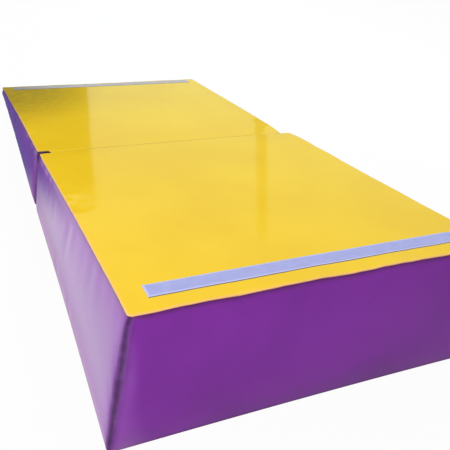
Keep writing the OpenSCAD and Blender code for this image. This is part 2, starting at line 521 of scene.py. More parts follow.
wovenLooks = {
    "zipTape": {
        "light": (0.150, 0.030, 0.225, 1), "deep": (0.085, 0.016, 0.135, 1),
        "pitch": 620.0, "rough": 0.78, "bump": 0.5,
    },
    "sideThread": {
        "light": (0.20, 0.05, 0.30, 1), "deep": (0.13, 0.03, 0.21, 1),
        "pitch": 1400.0, "rough": 0.5, "bump": 0.3,
    },
    "stripThread": {
        "light": (0.62, 0.63, 0.88, 1), "deep": (0.45, 0.46, 0.76, 1),
        "pitch": 1400.0, "rough": 0.5, "bump": 0.3,
    },
}


def makeWoven(name, look):
    material, desk, shader = newMaterial(name)
    weave = desk.group(tapeWeave, {"Pitch": look["pitch"]})
    dress(desk, shader, {
        "Base Color": desk.mix(weave["Thread"], look["deep"], look["light"]),
        "Roughness": desk.scaled(weave["Height"], 0.08, look["rough"]),
    }, weave["Height"], look["bump"], 0.0004)
    return material


hardLooks = {
    "zipTeeth": {
        "light": (0.16, 0.035, 0.24, 1), "deep": (0.10, 0.02, 0.16, 1), "rough": 0.34, "metal": 0.0,
    },
    "zipMetal": {
        "light": (0.150, 0.085, 0.185, 1), "deep": (0.075, 0.040, 0.095, 1), "rough": 0.30, "metal": 0.4,
    },
}


def makeHard(name, look):
    material, desk, shader = newMaterial(name)
    place = desk.place()
    mask = desk.ramp(desk.noise(place, 240.0, 6.0, 1.2), 0.42, 0.66)
    dress(desk, shader, {
        "Base Color": desk.mix(mask, look["light"], look["deep"]),
        "Roughness": desk.scaled(mask, 0.22, look["rough"]),
        "Metallic": look["metal"],
    }, desk.noise(place, 900.0, 4.0), 0.15, 0.0002)
    return material


foamLooks = {
    "coreFoam": {"light": (0.62, 0.55, 0.40, 1), "deep": (0.42, 0.35, 0.22, 1), "cell": 260.0},
    "softFoam": {"light": (0.74, 0.71, 0.62, 1), "deep": (0.55, 0.51, 0.42, 1), "cell": 520.0},
}


def makeFoam(name, look):
    material, desk, shader = newMaterial(name)
    place = desk.place()
    cells = desk.cells(place, look["cell"])
    chips = desk.math("MULTIPLY", desk.cells(place, look["cell"] / 7), 0.5)
    tint = desk.scaled(cells, 0.6, chips, clamp=True)
    dress(desk, shader, {
        "Base Color": desk.mix(tint, look["deep"], look["light"]),
        "Roughness": desk.scaled(tint, 0.15, 0.82),
    }, cells, 0.8, 0.002)
    return material


finishes = {}
for maker, looks in ((makeVinyl, vinylLooks), (makeStripTape, stripLooks), (makeWoven, wovenLooks),
                     (makeHard, hardLooks), (makeFoam, foamLooks)):
    finishes.update({name: maker(name, look) for name, look in looks.items()})
print("materials made:", ", ".join(finishes))

# flat panels with rounded corners and a rolled edge
topForm = {
    "roll": 0.0024,  # radius of the turned edge
    "rollTurn": 2.35,  # how far it turns, radians
    "rollSteps": 8,
    "groove": 0.0005,  # dip along the fold
    "grooveWidth": 0.004,
    "slitTaper": 0.012,  # length over which the slit opens
    "slitGive": 0.0036,  # how far its lips stand back on the left
    "slitShut": -0.0035,  # on the right they have closed up
    "crease": 1.0,  # painted shade held in the crease
    "slitShade": 1.5,  # painted shade on the slits' lips
    "lowEndShade": 1.5,  # painted shade along the low end
    "lowReach": 0.013,
    "cornerShade": 1.18,  # and a broad patch of painted shade round its left corner
    "cornerReach": (0.42, 0.62),
}


# a point of the square corner goes to the quarter disc
def roundCorner(ex, ey):
    reach = max(ex, ey)
    if reach <= 0:
        return 0, 1, 0
    turn = pi / 4 * min(ex, ey) / reach
    if ex < ey:
        turn = pi / 2 - turn
    return reach, cos(turn), sin(turn)


def rolledEdge(reach, corner, roll):
    start = corner - roll
    if reach <= start:
        return reach, 0
    turn = (reach - start) / roll
    return start + roll * sin(turn), roll * (1 - cos(turn))


# distances over a rounded corner and down its rolled edge
def edgeSteps(corner, form):
    roll, steps = form["roll"], form["rollSteps"]
    values = [corner * i / 8 for i in range(8) if corner * i / 8 < corner - roll]
    return values + [corner - roll + form["rollTurn"] * roll * i / steps for i in range(steps + 1)]


# side is 1 for a top, -1 for a bottom
def panelGrid(wedge, form, inset, side):
    outer, mid, toMid = wedge["outer"], wedge["mid"], wedge["toMid"]
    half = halfWidth - inset
    halfLong = abs(mid - outer) / 2 - inset
    centre = (outer + mid) / 2
    roll = form["roll"]
    endR = max(roll * 1.5, coverForm["endCorner" if side > 0 else "footCorner"] - inset)
    foldR = max(roll * 1.5, coverForm["foldCorner"] - inset)
    step = coverForm["step"]
    ends, folds = edgeSteps(endR, form), edgeSteps(foldR, form)
    slitFrom = webHalf - coverForm["slitFrom"]
    across = spread(-(half - endR), half - endR, step)
    across += [s * (half - endR + e) for e in ends for s in (-1, 1)]
    if side > 0:
        across += slitColumns(10)
    across = tidyList(across)
    along = [-(halfLong - endR + e) for e in ends]
    along += spread(-(halfLong - endR), halfLong - foldR, step)
    along = tidyList(along + [halfLong - foldR + e for e in folds])
    foldReach = max(folds)
    rows = []
    for v in along:
        row = []
        corner = endR if v < 0 else foldR
        ey = max(0, abs(v) - (halfLong - corner))
        for a in across:
            ex = max(0, abs(a) - (half - corner))
            reach, c, s = roundCorner(ex, ey)
            out, drop = rolledEdge(reach, corner, roll)
            x = copysign(min(abs(a), half - corner) + out * c, a)
            y = centre + toMid * copysign(min(abs(v), halfLong - corner) + out * s, v)
            # the seam value paints the rolled edge: a painted highlight on the yellow top, painted shade
            # round the purple bottom
            seam = smooth(corner - roll * 3.0, corner - roll * 0.8, reach)
            paintedDark = 0
            if side > 0:
                if toMid < 0:
                    # painted shade along the low end, and a broad patch of it round the left corner
                    endGap = abs(y - outer)
                    paintedDark = form["lowEndShade"] * exp(-endGap / form["lowReach"])
                    reachX, reachY = form["cornerReach"]
                    spot = hypot((x + halfWidth) / reachX, endGap / reachY)
                    paintedDark = max(paintedDark, form["cornerShade"] * exp(-spot ** 4))
                place = settle(x, y, slopeHeight(y)) - Vector((0, 0, drop))
                parted = smooth(slitFrom, slitFrom + form["slitTaper"], abs(x))
                if v > 0 and ey > 0 and parted < 1:
                    inner = mid - toMid * foldR
                    webY = inner + (foldLine - inner) * reach / foldReach
                    web = settle(x, webY, slopeHeight(webY))
                    groove = bell(webY - foldLine, form["grooveWidth"])
                    web.z -= form["groove"] * groove
                    place = web.lerp(place, parted)
                    seam *= parted
                    # painted shade in the crease along the fold
                    paintedDark = (1 - parted) * groove * form["crease"] * smooth(webHalf, webHalf * 0.6, abs(x))
                if v > 0 and parted > 0:
                    # painted shade on the slits' lips
                    lip = smooth(foldR - roll * 1.2, foldR - roll * 0.5, ey)
                    paintedDark = max(paintedDark, form["slitShade"] * parted * lip)
                    give = form["slitGive"] if x < 0 else form["slitShut"]
                    place.y -= toMid * give * parted * smooth(0, foldR, ey)
            else:
                place = settle(x, y, 0) + Vector((0, 0, drop))
            row.append((place, seam, paintedDark))
        rows.append(row)
    return rows, toMid * side < 0


# top sheet: one yellow sheet over both wedges, with the hinge as its own cloth
def makeTopSheet():
    bm = bmesh.new()
    for wedge in wedges.values():
        addRows(bm, *panelGrid(wedge, topForm, 0, 1))
    crossing = [v for v in bm.verts if abs(v.co.y - foldLine) < 1e-6 and abs(v.co.x) < webHalf]
    bmesh.ops.remove_doubles(bm, verts=crossing, dist=1e-5)
    sheet = newPiece("top_sheet", bm, finishes["topVinyl"])
    thicken(sheet, coverForm["thickness"])
    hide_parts("high_top_panel", "low_top_panel", "hinge_web")
    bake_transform(sheet)
    print("top sheet:", len(sheet.data.vertices), "points")


makeTopSheet()

# purple band round each wedge: two sides, the end, and the turn on to the fold face
bandForm = {
    "bulge": 0.0095,
    "fullness": 0.5,  # below 1 the belly turns in more sharply at the seams
    "foldBulge": 0.001,
    "faceReach": 0.05,  # the belly starts this far from the fold face
    "fullHeight": 0.16,  # and is smaller on a wall lower than this
    "cornerEase": (0.6, 0.05),  # share of the belly lost at an upright corner, and its reach
    "seamIn": 0.0205,  # how far round the fold face the upright seam stands
    "seamTurn": (0.004, 0.002),  # length and radius of the turn in at that seam
    "seamShade": (1.05, 0.75),  # seam value at the top and at the foot; it paints shade there, partly a real dark seam line
    "seamReach": (0.005, 0.007),
    "topDrop": 0.0030,  # the band tucks in this far under the yellow edge
    "topRound": 0.0032,
    "topTurn": 115,  # degrees
    "pucker": 0.0016,
    "puckerSize": (0.045, 0.09),  # along and up the wall
    "puckerReach": (0.006, 0.028),  # full down to the first, then fading
    "slack": 0.0005,
    "slackSize": 0.25,
    "cornerDarkReach": 0.015,  # how far the darkening reaches round an upright corner
    "cornerTuck": 0.006,
    "tuckReach": (0.022, 0.011),  # along and up the wall
    "tuckDrop": 0.008,
    "tuckShade": 1.35,
    "foldShadeDepth": 0.72,  # painted shade on the edges of the fold
    "foldShade": {"high": 0.014, "low": 0.060},  # how far out of the fold its painted shade reaches
    "topShadeGain": 0.6,  # more of it near the top
    "footTo": 0.3,  # shares of the height where the plan turns from foot to belly to top seam
    "topFrom": 0.55,
    "wallRows": 26,
    "turnSteps": 10,
    "lip": 0.0015,  # turned up inside the bottom seam
}
seamX = halfWidth - bandForm["seamIn"]


# straight runs and quarter turns through the corner points, with the same count at any radius
def filletPath(points, radii, counts, turns):
    path = [points[0]]
    for i, radius in enumerate(radii):
        before, here, after = points[i:i + 3]
        a = (before - here).normalized()
        b = (after - here).normalized()
        start, begin = here + a * radius, path[-1]
        path += [begin.lerp(start, t / counts[i]) for t in range(1, counts[i] + 1)]
        for j in range(1, turns + 1):
            turn = pi / 2 * j / turns
            path.append(here + (a + b) * radius - b * radius * cos(turn) - a * radius * sin(turn))
    begin = path[-1]
    return path + [begin.lerp(points[-1], t / counts[-1]) for t in range(1, counts[-1] + 1)]


# offset outwards, height and seam value up one line of the wall
def wallLine(height, bulge):
    low = min(coverForm["bottomRound"], height * 0.25)
    cap = bandForm["topRound"]
    top = height - bandForm["topDrop"] - cap
    line = [(-low - bandForm["lip"], bandForm["lip"] * 0.6, 1.0)]
    topShade, footShade = bandForm["seamShade"]
    line += [(off, z, 1 - (1 - footShade) * i / 8) for i, (off, z) in enumerate(footTurn(low, 8))]
    nearTop, nearFoot = bandForm["seamReach"]
    for i in range(bandForm["wallRows"] + 1):
        t = i / bandForm["wallRows"]
        seam = topShade * exp(-(1 - t) * (top - low) / nearTop)
        seam = max(seam, footShade * exp(-t * (top - low) / nearFoot))
        belly = bulge * sin(pi * t) ** bandForm["fullness"]
        line.append((belly, low + (top - low) * t, seam))
    for i in range(1, 7):
        turn = radians(bandForm["topTurn"]) * i / 6
        line.append((-cap + cap * cos(turn), top + cap * sin(turn), topShade))
    return line


clothForm = {
    "frames": 20,
    "pressure": 4.0,
    "grow": 0.0015,
    "cap": 0.004,  # no point moves further than this
    "feel": {
        "quality": 6, "mass": 0.4, "air_damping": 6, "tension_stiffness": 30, "compression_stiffness": 30,
        "shear_stiffness": 12, "bending_stiffness": 30,
    },
}


# blows the wall out between its sewn edges, then keeps the shape
def inflate(piece, sewn):
    group = piece.vertex_groups.new(name="sewn")
    group.add(sewn, 1.0, "REPLACE")
    cloth = piece.modifiers.new("inflate", "CLOTH")
    feel = cloth.settings
    for key, value in clothForm["feel"].items():
        setattr(feel, key, value)
    feel.vertex_group_mass = "sewn"
    feel.shrink_min = -clothForm["grow"]
    feel.use_pressure = True
    feel.uniform_pressure_force = clothForm["pressure"]
    feel.effector_weights.gravity = 0
    cloth.point_cache.frame_start = 1
    cloth.point_cache.frame_end = clothForm["frames"]
    for step in range(1, clothForm["frames"] + 1):
        scene.frame_set(step)
    graph = bpy.context.evaluated_depsgraph_get()
    blown = [v.co.copy() for v in piece.evaluated_get(graph).data.vertices]
    piece.modifiers.clear()
    scene.frame_set(1)
    most = 0
    cap = clothForm["cap"]
    for vert, place in zip(piece.data.vertices, blown):
        move = place - vert.co
        most = max(most, move.length)
        if move.length > 0:
            vert.co += move * (cap * tanh(move.length / cap) / move.length)
    print("cloth on", piece.name, "moved up to", round(most * 1000, 1), "mm")


def makeBand(label):
    wedge = wedges[label]
    outer, mid, toMid = wedge["outer"], wedge["mid"], wedge["toMid"]
    side = -toMid  # the high band starts on the left, the low one on the right
    turnLong, turnRound = bandForm["seamTurn"]
    inside = mid - toMid * turnLong
    run = [(seamX, inside), (seamX, mid), (halfWidth, mid), (halfWidth, outer)]
    points = [Vector((side * x, y)) for x, y in run] + [Vector((-side * x, y)) for x, y in run[::-1]]
    counts = [max(1, round((b - a).length / coverForm["step"])) for a, b in zip(points, points[1:])]
    paths = {}
    for key, end, fold in (("top", "endCorner", "foldCorner"), ("belly", "bellyCorner", "foldBelly"),
                           ("foot", "footCorner", "foldFoot")):
        half = [turnRound, coverForm[fold], coverForm[end]]
        paths[key] = filletPath(points, half + half[::-1], counts, bandForm["turnSteps"])
    path = paths["belly"]
    turnedIn = counts[0] + bandForm["turnSteps"]
    columns = []
    for i, spot in enumerate(path):
        ahead = path[min(i + 1, len(path) - 1)] - path[max(i - 1, 0)]
        out = Vector((ahead.y, -ahead.x)).normalized()
        if min(i, len(path) - 1 - i) <= turnedIn:
            out = Vector((0, toMid))  # the turned-in seam keeps the fold face's rounding
        face = smooth(0.0, bandForm["faceReach"], abs(spot.y - mid))
        height = slopeHeight(spot.y)
        bulge = bandForm["foldBulge"] + (bandForm["bulge"] - bandForm["foldBulge"]) * face
        bulge *= min(1, height / bandForm["fullHeight"])
        # the belly eases off towards the upright corners
        gap = max(halfWidth - abs(spot.x), abs(spot.y - outer))
        loss, reach = bandForm["cornerEase"]
        bulge *= 1 - loss * exp(-gap / reach)
        # darker along the upright corners
        paintedDark = bell(gap, bandForm["cornerDarkReach"])
        # painted shade on the band next to the fold, more of it near the top
        inFold = bandForm["foldShadeDepth"] * smooth(bandForm["foldShade"][label], 0.0, abs(spot.y - mid))
        column = []
        for offset, z, seam in wallLine(height, bulge):
            low = smooth(0, bandForm["footTo"], z / height)
            high = smooth(bandForm["topFrom"], 1, z / height)
            plan = paths["foot"][i].lerp(spot, low).lerp(paths["top"][i], high)
            drop = height - z
            fadeFrom, fadeReach = bandForm["puckerReach"]
            fade = exp(-max(0, drop - fadeFrom) / fadeReach) * smooth(0, 0.02, drop)
            size, sizeUp = bandForm["puckerSize"]
            lift = bandForm["pucker"] * cloud(spot.x, spot.y, z / sizeUp, size) * fade * face
            broad = cloud(spot.x, spot.y, z * 5 + 4, bandForm["slackSize"])
            lift += bandForm["slack"] * broad * face * smooth(0, 0.05, z) * smooth(0, 0.03, drop)
            # cloth tucked in under the tip of the yellow corner, with painted shade in the pocket
            tuckX, tuckZ = bandForm["tuckReach"]
            tuck = bell(gap, tuckX) * bell(drop - bandForm["tuckDrop"], tuckZ)
            lift -= bandForm["cornerTuck"] * tuck
            flat = plan + out * (offset + lift)
            darkTone = inFold * (1 + bandForm["topShadeGain"] * smooth(0.05, 0.01, drop))
            seam = max(seam, bandForm["tuckShade"] * tuck)
            column.append((settle(flat.x, flat.y, z), seam, max(paintedDark, darkTone)))
        columns.append(column)
    for column in (columns[0], columns[-1]):
        column[:] = [(place, 1.0, paintedDark) for place, seam, paintedDark in column]
    bm = bmesh.new()
    addRows(bm, columns, True)
    band = newPiece(label + "_side_band", bm, finishes["sideVinyl"])
    # the rounded foot, the top edge and the turned-in ends are sewn, so the cloth leaves them
    tall, edgeRows, endColumns = len(columns[0]), 9, 15
    sewn = [i for i in range(len(columns) * tall)
            if i % tall < edgeRows or i % tall > tall - edgeRows
            or not endColumns <= i // tall < len(columns) - endColumns]
    inflate(band, sewn)
    thicken(band, coverForm["thickness"])
    panels = [label + "_" + part + "_panel" for part in ("left", "right", "end")]
    fitPiece(band, wedge["body"], "side_vinyl", *panels)
    run = sum((b - a).length for a, b in zip(path, path[1:]))
    height = max(slopeHeight(outer), slopeHeight(mid))
    print("side band:", label, len(band.data.vertices), "points")


for label in wedges:
    makeBand(label)

# bottom panels, set in by the rounding of the band
bottomForm = {"roll": 0.0022, "rollTurn": 1.5, "rollSteps": 4, "inset": 0.0105}


def makeBottom(label):
    grid = panelGrid(wedges[label], bottomForm, bottomForm["inset"], -1)
    panel = sheetPiece(label + "_bottom_sheet", *grid, "sideVinyl", coverForm["thickness"])
    fitPiece(panel, wedges[label]["body"], "side_vinyl", label + "_bottom_panel")
    ends = [2 * settle(halfWidth, wedges[label][end], 0).x for end in ("outer", "mid")]


for label in wedges:
    makeBottom(label)
print("bottom panels done")

# fold faces: an upper and a lower flap either side of the zip
flapForm = {
    "bulge": 0.0016,
    "ease": 0.04,  # the belly starts this far from the upright seams
    "slack": 0.0006,
    "rows": 10,
    "hem": 0.0011,  # radius of the turned edge at the zip
    "flatHem": 0.012,
    "foot": (-0.014, 0.0022),  # offset and height of the edge sewn in under the bottom
    "topGap": (0.0013, 0.0034),  # below the yellow sheet, and more beyond the hinge's ends
    "topIn": (-0.0025, -0.0002),
    "endTuck": 0.003,
    "seamReach": 0.004,
    "darkTone": 2.0,  # painted shade at the top, beyond the hinge's ends, where the slits open
    "slitShadeReach": (0.024, 0.004),
    "thickness": 0.0009,
}


# offset, height and seam value up one line of a flap
def flapLine(x, place, lo, hi, top):
    hem, low = flapForm["hem"], coverForm["bottomRound"]
    turns = [pi * i / 6 for i in range(7)]
    if place == "lower":
        start, stop = low, hi.z - hem
        line = [(*flapForm["foot"], 1.0)]
        line += [(off, z, 0.4 * (1 - i / 8)) for i, (off, z) in enumerate(footTurn(low, 8))]
        close = [(-hem + hem * cos(turn), stop + hem * sin(turn), 0.5) for turn in turns[1:]]
    else:
        gap, slitGap = flapForm["topGap"]
        start = lo.z + hem
        stop = top - gap - slitGap * smooth(webHalf - coverForm["slitFrom"], webHalf + 0.006, abs(x))
        line = [(-hem - hem * cos(turn), start - hem * sin(turn), 0.5) for turn in turns[:-1]]
        close = [(flapForm["topIn"][0], stop + flapForm["topIn"][1], 1.0)]
    for i in range(flapForm["rows"] + 1):
        t = i / flapForm["rows"]
        arch = sin(pi * t)
        belly = flapForm["bulge"] * arch ** 0.8 * smooth(0, flapForm["ease"], seamX - abs(x))
        belly += flapForm["slack"] * cloud(x * 9, t * 2, 5.5) * arch
        seam = 0.5 * exp(-min(t, 1 - t) * (stop - start) / flapForm["seamReach"])
        line.append((belly, start + (stop - start) * t, seam))
    return line + close


def makeFlap(label, place):
    wedge = wedges[label]
    mid, toMid = wedge["mid"], wedge["toMid"]
    node = label + "_mid_panel_" + place
    lo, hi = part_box(node)
    across = tidyList(spread(-seamX, seamX, coverForm["step"]) + slitColumns(8))
    top = slopeHeight(mid)
    shadeFrom, shadeTo = [top - gap for gap in flapForm["slitShadeReach"]]
    columns = []
    for x in [across[0]] + across + [across[-1]]:
        # painted shade at the top of the flap, where the slits open
        dark = flapForm["darkTone"] * smooth(webHalf - 0.02, webHalf, abs(x))
        columns.append([(settle(x, mid + toMid * off, z), seam, dark * smooth(shadeFrom, shadeTo, z))
                        for off, z, seam in flapLine(x, place, lo, hi, top)])
    tuck = Vector((0, toMid * flapForm["endTuck"], 0))
    for column in (columns[0], columns[-1]):
        column[:] = [(spot - tuck, 1.0, paintedDark) for spot, seam, paintedDark in column]
    name = label + "_fold_flap_" + place
    flap = sheetPiece(name, columns, toMid < 0, "sideVinyl", flapForm["thickness"])
    fitPiece(flap, wedge["body"], "side_vinyl", node)


for label in wedges:
    for place in ("lower", "upper"):
        makeFlap(label, place)
print("fold faces done")

# hook-and-loop strips sewn across the top
stripForm = {
    "edge": 0.0042,  # flat woven border
    "edgeHeight": 0.0007,
    "pileHeight": 0.0021,
    "rise": (0.0007, 0.0018, 0.004),  # steps over which the pile comes up, in from the border
    "cut": 0.0006,
    "fuzz": 0.00018,
    "wander": 0.0013,  # how far the sewn line strays
    "lip": 0.0018,  # cut edge on the side that lifts, with a painted shadow along it
    "lipShade": 1.3,
    "thickness": 0.0005,
    "seed": {"loop_strip": 4.0, "hook_strip": 9.0},
    "leftShade": {"loop_strip": 0.0, "hook_strip": 1.0},  # painted shade, darker towards the left end
}


def topPoint(x, y, up):
    return settle(x, y, slopeHeight(y)) + slopeUp * up


def stripEdge(x, seed):
    stray = cloud(x * 7, seed, 1.3) + 0.4 * cloud(x * 31, seed, 2.9)
    return stripForm["wander"] * stray


# level of the tape near its cut ends: 0 at the cut, 1 on the border, 3 on the full pile
def endLevel(inEdge):
    edge = stripForm["edge"]
    for reach, level in ((0.0003, 0.0), (edge * 0.99, 1.0), (edge + 0.001, 2.2), (edge + 0.003, 2.9)):
        if inEdge < reach:
            return level
    return 3.0


# offset, level and seam value across the tape
def stripProfile(width):
    edge, cut = stripForm["edge"], stripForm["cut"]
    near, high, full = [edge + step for step in stripForm["rise"]]
    border = [(0.0, 0.0, 1), (0.0, 0.6, 1), (cut, 1.0, 1), (edge * 0.6, 1.0, 1), (edge, 1.0, 1),
              (near, 2.2, 0.35), (high, 2.9, 0), (full, 3.0, 0)]
    middle = [(full + (width - 2 * full) * i / 10, 3.0, 0) for i in range(1, 10)]
    lip = [(-stripForm["lip"], 0.0, 1), (-stripForm["lip"] * 0.2, 0.3, 1)]
    return lip + border + middle + [(width - off, level, seam) for off, level, seam in reversed(border)]


def makeStrip(node, body, finish, slot):
    lo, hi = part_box(node)
    width = hi.y - lo.y
    edge, seed = stripForm["edge"], stripForm["seed"][node]
    border, pile = stripForm["edgeHeight"], stripForm["pileHeight"]
    steps = [stripForm["cut"], edge * 0.6, edge] + [edge + step for step in stripForm["rise"]]
    xs = spread(lo.x, hi.x, 0.008) + [x for step in steps for x in (lo.x + step, hi.x - step)]
    columns = []
    for x in tidyList(xs, 0.0002):
        inEdge = min(x - lo.x, hi.x - x)
        column = []
        for off, level, seam in stripProfile(width):
            level = min(level, endLevel(inEdge))
            up = border * level
            if level > 1:
                up = border + (pile - border) * (level - 1) / 2
                up += stripForm["fuzz"] * cloud(x * 190, off * 190, seed)
            stray = stripEdge(x, seed) * (1 - off / width) + stripEdge(x, seed + 2) * off / width
            # painted shade towards the left end, and a painted shadow line on the lifted cut edge
            stripShade = stripForm["leftShade"][node] * smooth(0, -halfWidth, x)
            if off < 0.0003:
                stripShade = stripForm["lipShade"]
            seamHere = 1 if inEdge < edge * 1.05 else seam
            column.append((topPoint(x, lo.y + off + stray, up), seamHere, stripShade))
        columns.append(column)
    bm = bmesh.new()
    addRows(bm, columns)
    bmesh.ops.remove_doubles(bm, verts=bm.verts, dist=1e-6)  # the cut ends have no height
    strip = newPiece(node + "_tape", bm, finishes[finish])
    thicken(strip, stripForm["thickness"])
    fitPiece(strip, body, slot, node)


strips = (
    ("loop_strip", "high_wedge", "loopTape", "loop_tape"),
    ("hook_strip", "low_wedge", "hookTape", "hook_tape"),
)
for strip in strips:
    makeStrip(*strip)
print("strips done")

# stitching: short thread humps along a line
threadForm = {
    "length": 0.0034,
    "gap": 0.0010,
    "radius": 0.00042,
    # one stitch: share of its length, thickness and height
    "hump": ((0, 0.25, -0.6), (0.18, 0.9, 0.25), (0.5, 1.0, 0.55), (0.82, 0.9, 0.25), (1, 0.25, -0.6)),
    "reach": 0.05,  # straight runs between bends of the line
}


def addStitch(bm, start, end, up):
    along = (end - start).normalized()
    across = along.cross(up).normalized()
    radius = threadForm["radius"]
    ring = [across * cos(a) + up * sin(a) for a in [pi / 3 * i for i in range(6)]]
    rings = []
    for t, size, lift in threadForm["hump"]:
        centre = start.lerp(end, t) + up * radius * lift
        rings.append([centre + spoke * radius * size for spoke in ring])
    addTube(bm, rings)


def stitchRow(bm, line, up):
    length, gap = threadForm["length"], threadForm["gap"]
    spare = 0
    for a, b in zip(line, line[1:]):
        run = (b - a).length
        at = spare
        while at + length <= run:
            addStitch(bm, a.lerp(b, at / run), a.lerp(b, (at + length) / run), up)
            at += length + gap
        spare = max(0, at - run)


def stripStitches(node, body, slot):
    lo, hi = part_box(node)
    seed = stripForm["seed"][node]
    inset = stripForm["edge"] * 0.55
    up = stripForm["edgeHeight"]
    bm = bmesh.new()
    xs = spread(lo.x + inset, hi.x - inset, threadForm["reach"])
    for y, seedHere in ((lo.y + inset, seed), (hi.y - inset, seed + 2)):
        stitchRow(bm, [topPoint(x, y + stripEdge(x, seedHere), up) for x in xs], slopeUp)
    for x in (lo.x + inset, hi.x - inset):
        ys = (lo.y + inset, (lo.y + hi.y) / 2, hi.y - inset)
        stitchRow(bm, [topPoint(x, y, up) for y in ys], slopeUp)
    fitPiece(newPiece(node + "_stitches", bm, finishes["stripThread"]), body, slot)


for node, body, finish, slot in strips:
    stripStitches(node, body, slot)
print("stitches done")

# foam under the cover, eased at its edges so that the cover's rounding clears it
foamForm = {"inset": 0.012, "press": 0.002, "bevel": 0.007}


def makeFoamPad(node, finish, slot):
    lo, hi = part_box(node)
    bm = bmesh.new()
    bm.from_mesh(bpy.data.objects[node].data)
    bmesh.ops.remove_doubles(bm, verts=bm.verts, dist=1e-6)
    bmesh.ops.dissolve_limit(bm, angle_limit=0.02, verts=bm.verts, edges=bm.edges)
    centre = (lo + hi) / 2
    for vert in bm.verts:
        vert.co.z -= foldDip(*vert.co)
        vert.co.x -= copysign(foamForm["inset"], vert.co.x - centre.x) + lowTuck(*vert.co)
        vert.co.y -= copysign(foamForm["inset"], vert.co.y - centre.y)
        vert.co.z -= copysign(foamForm["press"], vert.co.z - centre.z)
    bmesh.ops.bevel(bm, geom=list(bm.edges), offset=foamForm["bevel"], segments=2, profile=0.5,
                    affect="EDGES", clamp_overlap=True)
    bmesh.ops.remove_doubles(bm, verts=bm.verts, dist=1e-5)
    bmesh.ops.dissolve_degenerate(bm, edges=bm.edges, dist=1e-5)
    pad = newPiece(node + "_pad", bm, finishes[finish])
    fitPiece(pad, node.split("_")[0] + "_wedge", slot, node)


for node in sorted(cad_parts):
    if "_core_slab_" in node:
        makeFoamPad(node, "coreFoam", "core_foam")
    elif node.endswith("_top_layer"):
        makeFoamPad(node, "softFoam", "soft_foam")
print("foam done")

# zips: woven tapes, wound coils, and the frame's own stops and sliders
zipForm = {
    "pitch": 0.0025, "turnSteps": 8,  # the coil
    "wire": 0.00042, "wireSides": 5,
    "tapeEnd": 0.004,  # the tape stops this far short of the upright seams
    "tapeRows": (0, 0.04, 0.12, 0.2, 0.35, 0.5, 0.65, 0.8, 0.88, 0.96, 1),
    "ridge": 0.0002,  # raised line beside the coil
    "ridgeAt": (0.12, 0.05),  # its place and width, as shares of the tape
    "slack": 0.0001,
    "stitchIn": 0.0042,  # thread's place on the flap
    "stitchOut": 0.0007,
}


def makeTape(label, row):
    node = label + "_zip_tape_" + row
    lo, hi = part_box(node)
    toMid = wedges[label]["toMid"]
    face = hi.y if toMid > 0 else lo.y
    reach = settle(seamX, wedges[label]["mid"], (lo.z + hi.z) / 2).x - zipForm["tapeEnd"]
    ridgeAt, ridgeWidth = zipForm["ridgeAt"]
    columns = []
    for x in spread(-reach, reach, coverForm["step"]):
        column = []
        for t in zipForm["tapeRows"]:
            fromCoil = t if row == "upper" else 1 - t
            up = zipForm["ridge"] * bell(fromCoil - ridgeAt, ridgeWidth)
            up -= zipForm["slack"] * abs(cloud(x * 20, t, 8.8))
            column.append((Vector((x, face + toMid * up, lo.z + (hi.z - lo.z) * t)), 0))
        columns.append(column)
    tape = sheetPiece(node + "_cloth", columns, toMid < 0, "zipTape", hi.y - lo.y)
    fitPiece(tape, wedges[label]["body"], "zip_tape", node)


# one nylon wire wound flat from end to end
def makeCoil(label, row):
    node = label + "_zip_coil_" + row
    lo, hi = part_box(node)
    wire, steps, sides = zipForm["wire"], zipForm["turnSteps"], zipForm["wireSides"]
    centre = (lo + hi) / 2
    deep, tall = (hi.y - lo.y) / 2 - wire, (hi.z - lo.z) / 2 - wire
    long = hi.x - lo.x - 2 * wire
    count = round(long / zipForm["pitch"]) * steps
    around = [2 * pi * j / sides for j in range(sides)]
    rings = []
    for i in range(count + 1):
        turn = 2 * pi * i / steps
        out = Vector((0, cos(turn), sin(turn)))
        middle = Vector((lo.x + wire + long * i / count, centre.y + deep * out.y, centre.z + tall * out.z))
        rings.append([middle + (out * cos(a) + Vector((sin(a), 0, 0))) * wire for a in around])
    bm = bmesh.new()
    addTube(bm, rings)
    coil = newPiece(node + "_wire", bm, finishes["zipTeeth"])
    fitPiece(coil, wedges[label]["body"], "zip_teeth", node)


def finishHard(node):
    mesh = bpy.data.objects[node].data
    mesh.materials.clear()
    mesh.materials.append(finishes["zipMetal"])


# thread that holds each flap to its tape
def zipStitches(label):
    wedge = wedges[label]
    y = wedge["mid"] + wedge["toMid"] * zipForm["stitchOut"]
    reach = seamX - zipForm["tapeEnd"]
    xs = spread(-reach, reach, threadForm["reach"])
    lower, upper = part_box(label + "_mid_panel_lower"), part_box(label + "_mid_panel_upper")
    bm = bmesh.new()
    for z in (lower[1].z - zipForm["stitchIn"], upper[0].z + zipForm["stitchIn"]):
        stitchRow(bm, [settle(x, y, z) for x in xs], Vector((0, wedge["toMid"], 0)))
    row = newPiece(label + "_zip_stitches", bm, finishes["sideThread"])
    fitPiece(row, wedge["body"], "side_vinyl")


for label in wedges:
    for row in ("upper", "lower"):
        makeTape(label, row)
        makeCoil(label, row)
    finishHard(label + "_zip_stops")
    finishHard(label + "_zip_slider")
    zipStitches(label)
print("zips done")

